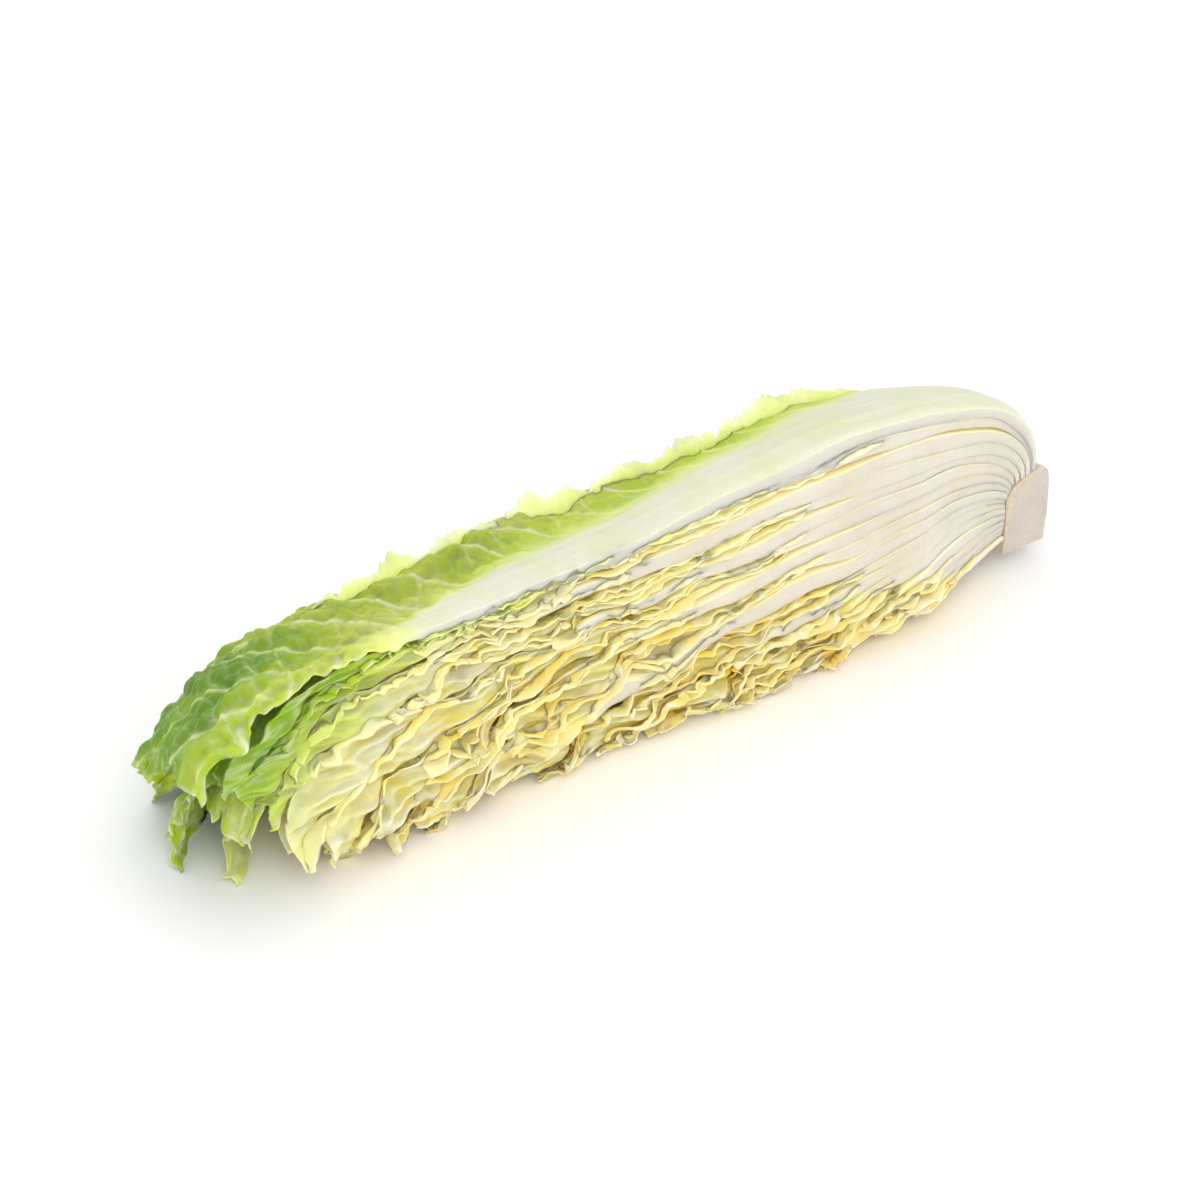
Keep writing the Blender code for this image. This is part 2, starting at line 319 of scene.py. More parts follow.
def frame_of(P, phi):
    """Unit vectors of a sheet: out of it, along the head, and round it."""
    n = grid_normals(P)
    a = np.radians(phi)
    outward = np.stack([0 * a, np.sin(a), np.cos(a)], -1)
    n = n * np.where(np.sum(n * outward, -1, keepdims=True) < 0, -1.0, 1.0)
    return n, unit(np.gradient(P, axis=0)), unit(np.gradient(P, axis=1))


# name, girth, midrib direction, tip rounding, how far along the upright cut
# stays fleshy, how far the midrib reaches, where the blade turns green, how green
LEAVES = [
    ("outer_leaf_1", 0.0760, 2.0, 0.020, 0.70, 0.86, 0.06, 1.00),
    ("outer_leaf_2", 0.0700, 66.0, 0.030, 0.34, 0.70, 0.215, 0.92),
    ("outer_leaf_3", 0.0645, 5.0, 0.026, 0.66, 0.78, 0.240, 0.84),
    ("middle_leaf_1", 0.0590, 82.0, 0.024, 0.42, 0.60, 0.260, 0.60),
    ("middle_leaf_2", 0.0535, 3.0, 0.022, 0.62, 0.76, 0.270, 0.40),
    ("middle_leaf_3", 0.0485, 48.0, 0.022, 0.44, 0.60, 0.270, 0.24),
    ("middle_leaf_4", 0.0435, 4.0, 0.020, 0.60, 0.72, 0.25, 0.10),
    ("middle_leaf_5", 0.0390, 74.0, 0.020, 0.46, 0.60, 0.3, 0.0),
    ("inner_leaf_1", 0.0345, 3.0, 0.018, 0.82, 0.93, 0.3, 0.0),
    ("inner_leaf_2", 0.0300, 60.0, 0.018, 0.44, 0.60, 0.3, 0.0),
    ("inner_leaf_3", 0.0260, 6.0, 0.016, 0.60, 0.75, 0.3, 0.0),
    ("inner_leaf_4", 0.0220, 40.0, 0.014, 0.48, 0.60, 0.3, 0.0),
    ("heart_leaf_1", 0.0180, 80.0, 0.012, 0.42, 0.55, 0.3, 0.0),
    ("heart_leaf_2", 0.0140, 12.0, 0.010, 0.58, 0.65, 0.3, 0.0),
    ("heart_leaf_3", 0.0100, 52.0, 0.010, 0.45, 0.55, 0.3, 0.0),
    ("heart_leaf_4", 0.0060, 24.0, 0.008, 0.50, 0.55, 0.3, 0.0),
    ("heart_bud", 0.0022, 30.0, 0.004, 0.60, 0.60, 0.3, 0.0),
]


def crumple(t, v, S, phi, seed, strength, fine, room):
    """Offsets of a leaf blade: out of the sheet, along the head, and round it.
    room is how far the sheet can swing on its own."""
    tip = smooth(0.45, 0.95, S)
    margin = np.exp(-phi / 7.0)
    # long pleats run with the veins
    wob = 0.5 * noise(t / 0.07, 0 * t + 0.5, seed)
    pleat = noise(t / 0.034, v / 0.0060 + wob, seed + 21)
    mid = noise(t / 0.0135, v / 0.0062, seed + 23)
    small = fbm(t / 0.0046, v / 0.0040, seed + 29, 2)
    h = room * (0.50 * pleat + 0.26 * mid) + 0.00018 * small
    # the margin is longer than the leaf, so it runs in small S-shaped frills
    lam = 0.0092
    psi = 2 * np.pi * (t / lam + 0.9 * fbm(t / 0.021, v / 0.012, seed + 13, 2) + 0.2 * v / lam)
    amp = (0.00020 + 0.00075 * tip + 0.0004 * smooth(0.74, 0.97, S)) * np.clip(0.45 + 1.1 * noise(t / 0.022, v / 0.016, seed + 15), 0, 1.5)
    amp = amp * (0.15 + 0.85 * margin)
    h = h + amp * np.sin(psi)
    a = 0.8 * amp * np.sin(2 * psi + 0.7) + 0.0007 * noise(t / 0.018, v / 0.012, seed + 41)
    b = 0.0010 * noise(t / 0.024, v / 0.010, seed + 53) + 0.5 * amp * np.cos(psi * 0.71 + 1.0)
    f1, f2 = cells(t / 0.0054, v / 0.0044, seed + 71)
    puff = np.clip((f2 - f1) / 0.6, 0, 1)
    puff = 1 - (1 - puff) ** 2
    g1, g2 = cells(t / 0.0125 + 0.2 * noise(t / 0.01, v / 0.01, seed + 73), v / 0.0100, seed + 72)
    lump = np.clip((g2 - g1) / 0.7, 0, 1)
    lump = 1 - (1 - lump) ** 2
    relief = fine * (0.00034 * (puff - 0.6) + 0.00040 * (lump - 0.6))
    return h * strength + relief, a * strength, b * strength, 0.6 * puff + 0.4 * lump


def veins(t, v, rib_v, seed):
    """0..1 strength of the side veins leaving the midrib, of their forks and
    of the net between them, and how far the blade swells between veins."""
    d = np.abs(v - rib_v)
    side = np.sign(v - rib_v)
    wob = 0.0100 * fbm(t / 0.070, v / 0.060, seed + 7, 2) + 0.0022 * fbm(t / 0.014, v / 0.014, seed + 8, 2)
    q = t - d * 1.05 + 0.0062 * side + wob + 3.0 * d * d
    sp = 0.0205
    ph = np.abs((q / sp) - np.round(q / sp)) * sp
    wide = 0.0012 * np.exp(-d / 0.040) + 0.00032
    some = smooth(-0.75, -0.15, noise(np.round(q / sp) * 3.7, 0 * q + side, seed + 17))
    main = np.exp(-(ph / wide) ** 2) * (0.25 + 0.75 * some)
    # each side vein forks, and the forks join into a net
    q2 = t + d * 0.35 + 1.6 * wob + 0.0020 * noise(t / 0.008, v / 0.008, seed + 20)
    sp2 = 0.0125
    ph2 = np.abs((q2 / sp2) - np.round(q2 / sp2)) * sp2
    fork = np.exp(-(ph2 / 0.00050) ** 2) * smooth(-0.25, 0.35, noise(t / 0.016, v / 0.012, seed + 19))
    f1, f2 = cells(t / 0.0054, v / 0.0044, seed + 71)
    net = np.exp(-((f2 - f1) / 0.10) ** 2)
    swell = smooth(0.0, 0.0075, ph) * (0.55 + 0.45 * smooth(0.0, 0.004, ph2))
    return main, fork, net, swell


def leaf(index, soup):
    name, girth, rib, rounding, cut_flesh, rib_reach, green_at, green_max = LEAVES[index]
    inward = LEAVES[index + 1][1] if index + 1 < len(LEAVES) else 0.0
    seed = 1000 + 137 * index
    rng = np.random.default_rng(seed)
    reach = float(along(REACH, girth))
    t0 = float(along(BASE_AT, girth))
    nt = max(70, int((reach - t0) / (0.00068 if index < 2 else 0.00060)))
    nf = {0: 150, 1: 100, 2: 80}.get(index, 64 if index < 8 else 50)
    k = np.linspace(0, 1, nt + 1)
    s = 0.12 * k ** 2 + 0.88 * k
    q = np.linspace(-1, 1, nf + 1)
    # finer near both cut faces, where the edges show
    f = 0.5 + 0.5 * (0.40 * q + 0.60 * np.sign(q) * (1 - (1 - np.abs(q)) ** 2.2))
    if index == 0:
        f = 0.5 + 0.5 * q
    S, F = np.meshgrid(s, f, indexing="ij")
    phi = 90.0 * F
    mid_r = 0.004 + girth * 0.97
    v = np.radians(phi) * mid_r
    rib_v = math.radians(rib) * mid_r
    # rounded, lobed outline at the tip
    off = (phi - rib) / 90.0
    end = reach - rounding * off * off
    end = end + 0.0050 * fbm(v / 0.020, 0 * v + 3.1, seed + 2, 2) \
        + 0.0009 * fbm(v / 0.0045, 0 * v + 1.7, seed + 4, 2)
    end = np.minimum(end, reach + 0.003)
    t = t0 + (end - t0) * S
    # how fleshy the sheet is here
    half = 58.0 * np.exp(-S / 0.20) + 15.0 * smooth(rib_reach + 0.05, rib_reach - 0.50, S) + 0.5
    if index == 0:
        half = 44.0 * np.exp(-S / 0.17) + 12.5 * smooth(rib_reach + 0.02, rib_reach - 0.30, S) + 0.4
    ribness = np.exp(-(np.abs(phi - rib) / half) ** 3.0) * smooth(rib_reach, rib_reach - 0.16, S)
    wav = 0.05 * fbm(v / 0.012, t / 0.03, seed + 6, 2)
    near_cut = smooth(38.0, 8.0, phi)
    fl = 0.22 + (cut_flesh - 0.22) * near_cut
    base_flesh = smooth(fl + 0.10, fl - 0.16, S + wav)
    if index == 0:
        base_flesh = smooth(0.30, 0.14, S + wav + 0.12 * smooth(20, 70, phi))
    flesh = np.clip(np.maximum(ribness, base_flesh), 0, 1)
    band = max(0.0008, girth - inward)
    blade_t = 0.00050
    thin = np.clip(1.12 - 0.62 * S, 0, 1)
    gap = 0.00016 + 0.00035 * np.abs(noise(t / 0.06, v / 0.05, seed + 14))
    if index == 0:
        gap = gap + 0.0020 * smooth(0.012, 0.030, t) * smooth(0.120, 0.060, t) * smooth(40, 5, phi)
    if index == 1:
        gap = gap + 0.0010 * smooth(0.014, 0.030, t) * smooth(0.100, 0.050, t) * smooth(40, 5, phi)
    thick = blade_t + np.maximum(band * (0.80 + 0.20 * thin) - gap - blade_t, 0) * flesh ** 1.3 * thin
    P = head_point(t, wavy(np.full_like(t, girth), t, phi), phi)
    N, T, R = frame_of(P, phi)
    blade = 1.0 - smooth(0.0, 0.85, flesh)
    edge0 = np.exp(-phi / 10.0)
    edge1 = np.exp(-(90.0 - phi) / 10.0)
    grow = smooth(0.12, 0.50, S)
    strength = blade * (0.25 + 0.75 * grow) * (1 + 0.45 * edge0 + 0.3 * edge1)
    room = min(band * 0.34, 0.0017) * (0.65 + 0.35 * grow) * (1 + 1.1 * smooth(0.80, 1.0, S))
    if index == 0:
        strength = blade * (0.45 + 0.45 * smooth(0.3, 0.95, S))
        room = room * 1.6
    coarse = blade * (0.6 + 0.4 * grow) * (1.0 + 1.1 * smooth(0.10, 0.24, t) * (girth > 0.057))
    h, a, b, puff = crumple(t, v, S, phi, seed, strength, coarse, room)
    vm, vs, vn, swell = veins(t, v, rib_v, seed)
    on = blade * smooth(0.08, 0.2, S)
    vm, vs, vn = vm * on, vs * on, vn * on
    fibre = 0.00010 * np.sin(v / 0.0011 + 2.0 * fbm(t / 0.05, v / 0.01, seed + 8, 2)) \
        + 0.0005 * fbm(v / 0.006, t / 0.08, seed + 10, 2)
    h = h + fibre * flesh - blade * 0.0010
    h = h + (0.0017 if index == 0 else 0.0005) * (swell - 0.5) * blade * smooth(0.10, 0.25, t)
    h = h - flesh * (0.0022 if index == 0 else 0.0005) * np.exp(-phi / (3.2 if index == 0 else 2.0))
    if index == 0:
        h = np.maximum(h, -0.0024)
    if index == 1:
        h = np.minimum(h, 0.0006) - blade * smooth(4, 20, phi) * 0.0022
    if index == 0:
        beside = phi - rib - 17.0 * (1 - 0.55 * smooth(0.1, 0.26, t))
        fold = smooth(0.06, 0.11, t) * smooth(0.31, 0.26, t)
        wob = 3.0 * fbm(t / 0.03, 0 * t + 1.0, seed + 90, 2)
        rag = 0.65 + 0.9 * noise(t / 0.022, 0 * t + 2.0, seed + 91) + 0.5 * noise(t / 0.0065, 0 * t, seed + 92)
        h = h + fold * (0.0036 * np.clip(rag, 0, 2) * np.exp(-((beside - 12 + wob) / 4.0) ** 2)
                        )
    if index == 0:
        loose = smooth(0.13, 0.20, t) * smooth(0.335, 0.285, t) * smooth(13.0, 27.0, phi) * smooth(85.0, 50.0, phi)
        h = h + loose * (0.0046 + 0.0040 * noise(t / 0.034, v / 0.030, seed + 95)
                         + 0.0016 * noise(t / 0.014, v / 0.016, seed + 96))
    Po = P + N * (h + 0.00050 * vm + 0.00022 * vs)[..., None] + T * a[..., None] + R * b[..., None]
    G2 = girth - thick
    t_in = np.maximum(t, along(BASE_AT, G2))
    Pi_smooth = head_point(t_in, wavy(G2, t_in, phi), phi) + N * h[..., None] \
        + T * a[..., None] + R * b[..., None]
    Pi_thin = P + N * (h - thick)[..., None] + T * a[..., None] + R * b[..., None]
    mk = smooth(0.0, 0.5, flesh)[..., None]
    Pi = Pi_smooth * mk + Pi_thin * (1 - mk)
    # edges at the upright cut lean out of it and back into it
    lean = blade * edge0 * grow
    out0 = (0.0002 + 0.0022 * noise(t / 0.026, v / 0.012, seed + 61)
            + 0.0010 * noise(t / 0.0062, v / 0.006, seed + 62)) * lean
    proud = 0.0009 * noise(t / 0.09, 0 * t + index * 1.3, 44) * flesh * edge0
    Po[..., 1] = Po[..., 1] - out0 + proud
    Pi[..., 1] = Pi[..., 1] - out0 + proud
    Po, Pi = sway(Po, flesh), sway(Pi, flesh)
    for Q in (Po, Pi):
        Q[..., 1] = np.maximum(Q[..., 1], -0.0012 * flesh - 0.0085 * blade)
        Q[..., 2] = np.maximum(Q[..., 2], 0.0001 + 0.0003 * blade)
    # painted shade: stronger where the blade dips inward and the deeper it lies behind the cut faces; it turns the
    # colour orange-yellow
    painted_shade = np.clip(0.30 - 260.0 * h, 0, 1) * 0.35 \
        + 0.65 * smooth(-0.0035, 0.0075, np.minimum(Po[..., 1], Po[..., 2]))
    if index == 0:
        painted_shade = np.clip(0.30 - 160.0 * h, 0, 0.5)
    painted_shade = painted_shade * blade
    away = smooth(0, 26, np.abs(phi - rib))
    g = green_max * smooth(green_at, green_at + 0.13, t)
    if index == 0:
        strip = np.exp(-((phi - 19.0 - 12.0 * smooth(0.16, 0.05, t)) / 7.0) ** 2)
        g = 0.30 * smooth(0.04, 0.08, t) + 0.22 * strip * smooth(0.04, 0.08, t) \
            + 0.10 * smooth(0.20, 0.27, t) + 0.50 * smooth(0.275, 0.325, t)
    g = g * (0.90 + 0.22 * swell)
    g = np.clip(g * (0.75 + 0.25 * away) + 0.14 * fbm(t / 0.03, v / 0.02, seed + 9, 3) * (g > 0.02), 0, 1)
    at = dict(rib=flesh, vein=np.clip(vm + 0.62 * vs + 0.34 * vn, 0, 1), green=g, painted_shade=painted_shade,
              pale=np.full_like(t, np.clip(girth / 0.076, 0, 1)), puff=puff * blade,
              cut=np.zeros_like(t))
    soup.sheet(Po, Pi, at)

    # folds of the same blade, packed between this leaf and the next one
    n_folds = 0
    if inward > 0 and girth > 0.004:
        n_folds = 2 if girth > 0.012 else 1
        if index == 0:
            n_folds = 3
    early = {0: 0.22, 2: 0.32, 4: 0.36, 6: 0.36, 8: 0.40}
    for fold in range(n_folds):
        fs = seed + 500 + 61 * fold
        share = (fold + 0.8) / (n_folds + 0.6)
        start = float(np.clip(cut_flesh - 0.14 + 0.12 * rng.random(), 0.22, 0.66))
        if index == 0:
            share = (0.66, 0.82, 0.93)[fold]
        if fold == n_folds - 1 and index in early:
            start, share = early[index], 0.93
        e2 = float(along(REACH, girth - band * share)) - 0.003 - 0.055 * float(rng.random())
        if index < 5:
            e2 -= 0.045
        nt2 = max(40, int((e2 - t0) * (1 - start) / 0.00060))
        nf2 = 20
        S2, F2 = np.meshgrid(np.linspace(start, 1.0, nt2 + 1),
                             np.linspace(0, 1, nf2 + 1) ** 1.35, indexing="ij")
        phi2 = (24.0 if girth > 0.02 else 45.0) * F2
        v2 = np.radians(phi2) * mid_r
        t2 = t0 + (e2 - t0) * S2
        g2 = girth - band * share + 0.0014 * fbm(S2 / 0.12, F2 * 0.6, fs, 2)
        P2 = head_point(t2, wavy(g2, t2, phi2), phi2)
        N2, T2, R2 = frame_of(P2, phi2)
        grow2 = smooth(start, start + 0.10, S2)
        st2 = (0.35 + 0.65 * grow2) * (0.75 + 0.55 * np.exp(-phi2 / 9.0))
        h2, a2, b2, puff2 = crumple(t2, v2, S2, phi2, fs, st2, 1.0, min(band * 0.26, 0.0013))
        vm2, vs2, vn2, _ = veins(t2, v2, rib_v + 0.02 * (fold - 0.5), fs)
        D = T2 * a2[..., None] + R2 * b2[..., None]
        Po2 = P2 + N2 * (h2 + 0.0003 * vm2)[..., None] + D
        Pi2 = P2 + N2 * (h2 - 0.00045)[..., None] + D
        out2 = (0.0004 + 0.0026 * noise(t2 / 0.026, v2 / 0.012, fs + 61)
                + 0.0011 * noise(t2 / 0.0060, v2 / 0.006, fs + 62)) \
            * np.exp(-phi2 / 8.0) * grow2
        # the near end runs back under the flesh it grows from
        tuck = 0.006 * (1 - grow2)
        Po2[..., 1] = Po2[..., 1] - out2 + tuck
        Pi2[..., 1] = Pi2[..., 1] - out2 + tuck
        firm2 = 0.9 * np.maximum(smooth(cut_flesh + 0.08, cut_flesh - 0.14, S2),
                                 (rib < 10) * smooth(rib_reach, rib_reach - 0.16, S2))
        Po2, Pi2 = sway(Po2, firm2), sway(Pi2, firm2)
        for Q in (Po2, Pi2):
            Q[..., 1] = np.maximum(Q[..., 1], -0.0090)
            Q[..., 2] = np.maximum(Q[..., 2], 0.0004)
        # painted shade on the folds, worked out the same way as on the blade
        painted_shade2 = np.clip(0.30 - 260.0 * h2, 0, 1) * 0.35 \
            + 0.65 * smooth(-0.0035, 0.0075, np.minimum(Po2[..., 1], Po2[..., 2]))
        z = np.zeros_like(t2)
        d2 = dict(rib=z, vein=np.clip(0.7 * vm2 + 0.4 * vs2 + 0.25 * vn2, 0, 1),
                  green=(green_max * smooth(green_at + 0.02, green_at + 0.13, t2) * 0.85 if index
                         else 0.30 + 0.5 * smooth(0.24, 0.33, t2)),
                  painted_shade=painted_shade2,
                  pale=z + np.clip(girth / 0.076, 0, 1), puff=puff2, cut=z)
        soup.sheet(Po2, Pi2, d2, rims=False)


def pleats(index, soup):
    """The blade of a leaf folded up on itself between this leaf and the next:
    just behind the upright cut it shows as long soft pleats."""
    name, girth, rib, rounding, cut_flesh, rib_reach, green_at, green_max = LEAVES[index]
    inward = LEAVES[index + 1][1]
    band = girth - inward
    seed = 5000 + 91 * index
    t0 = float(along(BASE_AT, girth))
    start = {0: 0.18, 2: 0.28, 4: 0.32, 6: 0.34, 8: 0.38}.get(index, 0.26)
    e1 = float(along(REACH, girth)) - 0.012
    nt = max(40, int((e1 - t0) * (1 - start) / 0.00100))
    ns = 34
    S, K = np.meshgrid(np.linspace(start, 1.0, nt + 1), np.linspace(0, 1, ns + 1), indexing="ij")
    t = t0 + (e1 - t0) * S
    first = 0.55 if index == 0 else 0.05
    g = girth - band * (first + (0.97 - first) * K)
    grow = smooth(start, start + 0.12, S)
    phi = np.full_like(t, 3.0)
    P = head_point(t, wavy(g, t, phi), phi)
    drift = 0.6 * noise(t / 0.045, 0 * t + index, seed)
    up = P[..., 2]
    p1 = noise(t / 0.030, up / 0.0032 + drift, seed + 1)
    p2 = noise(t / 0.013, up / 0.0020 + 2 * drift, seed + 2)
    p3 = noise(t / 0.0050, up / 0.0020, seed + 3)
    p4 = noise(t / 0.019, up / 0.011 + drift, seed + 6)
    past = smooth(float(along(REACH, inward)) - 0.010, float(along(REACH, inward)) + 0.006, t)
    q1 = noise(t / 0.0100 + 0.6 * noise(t / 0.02, up / 0.02, seed + 8), up / 0.0062, seed + 7)
    q2 = noise(t / 0.0060, up / 0.0045, seed + 9)
    curl = (1 - 2.6 * np.abs(q1)) * 0.0010 + (1 - 2.6 * np.abs(q2)) * 0.0003
    loose = smooth(0.55, 0.85, S)
    dip = (0.0014 * p1 + 0.0006 * p2 + 0.0002 * p3) * (0.4 + 0.6 * grow) \
        + 0.0036 * p4 * past * K - curl * np.clip(0.35 * loose + past, 0, 1)
    depth = 0.0019 + 0.0016 * (1 - grow) + dip
    slide = 0.0012 * noise(t / 0.010, g / 0.0030, seed + 4) * grow
    Po = P.copy()
    Po[..., 0] += slide
    Po[..., 1] = depth
    Pi = Po.copy()
    Pi[..., 1] += 0.0006
    firm = np.maximum(smooth(cut_flesh + 0.08, cut_flesh - 0.14, S),
                      (rib < 10) * smooth(rib_reach, rib_reach - 0.16, S))
    for Q in (Po, Pi):
        Q[..., 1] += 0.0022 * firm * (1 - 0.6 * K)
    Po, Pi = sway(Po, firm), sway(Pi, firm)
    for Q in (Po, Pi):
        Q[..., 2] = np.maximum(Q[..., 2], 0.0006)
    # painted shade: the deeper a pleat dips, the more orange-yellow shade colour it gets
    painted_shade = np.clip(0.42 + dip / 0.0030, 0, 1)
    vein = np.clip(np.exp(-(p2 / 0.16) ** 2) * 0.6 * grow, 0, 1)
    z = np.zeros_like(t)
    green = green_max * smooth(green_at, green_at + 0.13, t) * 0.85 if index \
        else 0.36 + 0.5 * smooth(0.24, 0.33, t)
    at = dict(rib=z, vein=vein, green=green + z, painted_shade=painted_shade, pale=z + np.clip(girth / 0.076, 0, 1),
              puff=np.clip(1 - np.abs(p3) * 2, 0, 1), cut=z)
    soup.sheet(Pi[:, ::-1], Po[:, ::-1], {k: a[:, ::-1] for k, a in at.items()}, rims=False)


def flap(soup):
    """Torn edge of the outermost blade standing up along the back of the rib."""
    name, girth, rib = LEAVES[0][:3]
    seed = 7100
    nt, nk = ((440, 12))
    T, K = np.meshgrid(np.linspace(0.048, 0.300, nt + 1), np.linspace(0, 1, nk + 1), indexing="ij")
    end = smooth(0.048, 0.085, T) * smooth(0.300, 0.265, T)
    high = end * (0.0046 + 0.0058 * np.clip(noise(T / 0.026, 0 * T, seed) + 0.35, 0, 1.2)
                  + 0.0034 * noise(T / 0.0085, 0 * T + 4.0, seed + 1)
                  + 0.0018 * noise(T / 0.0030, 0 * T + 9.0, seed + 2))
    high = np.maximum(high, 0.0004)
    base = 25.0 + 4.0 * noise(T / 0.05, 0 * T, seed + 3) + 7.0 * smooth(0.16, 0.05, T)
    lean = 0.35 + 0.9 * noise(T / 0.020, 0 * T, seed + 4)
    wave = 0.0011 * noise(T / 0.0065, K * 1.2, seed + 5) * K + 0.0005 * noise(T / 0.003, K * 2, seed + 6) * K
    phi = base
    P = head_point(T, wavy(np.full_like(T, girth), T, phi), phi)
    rise = 0.0030 * smooth(0.13, 0.20, T) * smooth(0.320, 0.285, T)
    a = np.radians(phi)
    out = np.stack([0 * a, np.sin(a), np.cos(a)], -1)
    rnd = np.stack([0 * a, np.cos(a), -np.sin(a)], -1)
    bent = K * K * lean
    Q = P + out * (rise + high * (K - 0.25 * bent) - 0.0006)[..., None] \
        + rnd * (high * bent * 0.8 + wave)[..., None]
    Q[..., 0] += 0.0012 * noise(T / 0.008, K, seed + 7) * K
    W = Q + rnd * 0.00045
    z = np.zeros_like(T)
    at = dict(rib=z, vein=np.clip(0.5 * np.exp(-(noise(T / 0.006, K * 0.6, seed + 8) / 0.1) ** 2), 0, 1),
              # a fixed amount of painted shade on the flap
              green=0.50 - 0.38 * K + 0.12 * noise(T / 0.02, K, seed + 9), painted_shade=z + 0.2,
              pale=z + 1.0, puff=z, cut=z)
    soup.sheet(W, Q, at, rims=False)


# ----------------------------------------------------------------- material
def lin(r, g, b):
    def c(x):
        x = x / 255.0
        return x / 12.92 if x <= 0.04045 else ((x + 0.055) / 1.055) ** 2.4
    return (c(r), c(g), c(b), 1.0)


class Nodes:
    def __init__(self, mat):
        mat.use_nodes = True
        self.t = mat.node_tree
        self.bsdf = self.t.nodes["Principled BSDF"]

    def add(self, kind, **kw):
        n = self.t.nodes.new(kind)
        for k, v in kw.items():
            setattr(n, k, v)
        return n

    def link(self, a, b):
        self.t.links.new(a, b)

    def attr(self, name):
        n = self.add("ShaderNodeAttribute", attribute_name=name)
        return n.outputs["Fac"]

    def math(self, op, a, b=None, clamp=False):
        n = self.add("ShaderNodeMath", operation=op, use_clamp=clamp)
        for i, x in enumerate((a, b)):
            if x is None:
                continue
            if isinstance(x, (int, float)):
                n.inputs[i].default_value = x
            else:
                self.link(x, n.inputs[i])
        return n.outputs[0]

    def mix(self, fac, a, b, blend="MIX"):
        n = self.add("ShaderNodeMix", data_type="RGBA", blend_type=blend)
        for sock, x in ((n.inputs[0], fac), (n.inputs[6], a), (n.inputs[7], b)):
            if isinstance(x, (int, float)):
                sock.default_value = x
            elif isinstance(x, tuple):
                sock.default_value = x
            else:
                self.link(x, sock)
        return n.outputs[2]

    def ramp(self, fac, stops):
        n = self.add("ShaderNodeValToRGB")
        el = n.color_ramp.elements
        while len(el) > 1:
            el.remove(el[-1])
        el[0].position, el[0].color = stops[0]
        for p, c in stops[1:]:
            e = el.new(p)
            e.color = c
        self.link(fac, n.inputs[0])
        return n.outputs[0]

    def noise(self, scale, detail=3.0, vec=None, rough=0.55):
        n = self.add("ShaderNodeTexNoise")
        n.inputs["Scale"].default_value = scale
        n.inputs["Detail"].default_value = detail
        n.inputs["Roughness"].default_value = rough
        if vec is not None:
            self.link(vec, n.inputs["Vector"])
        return n.outputs[0]


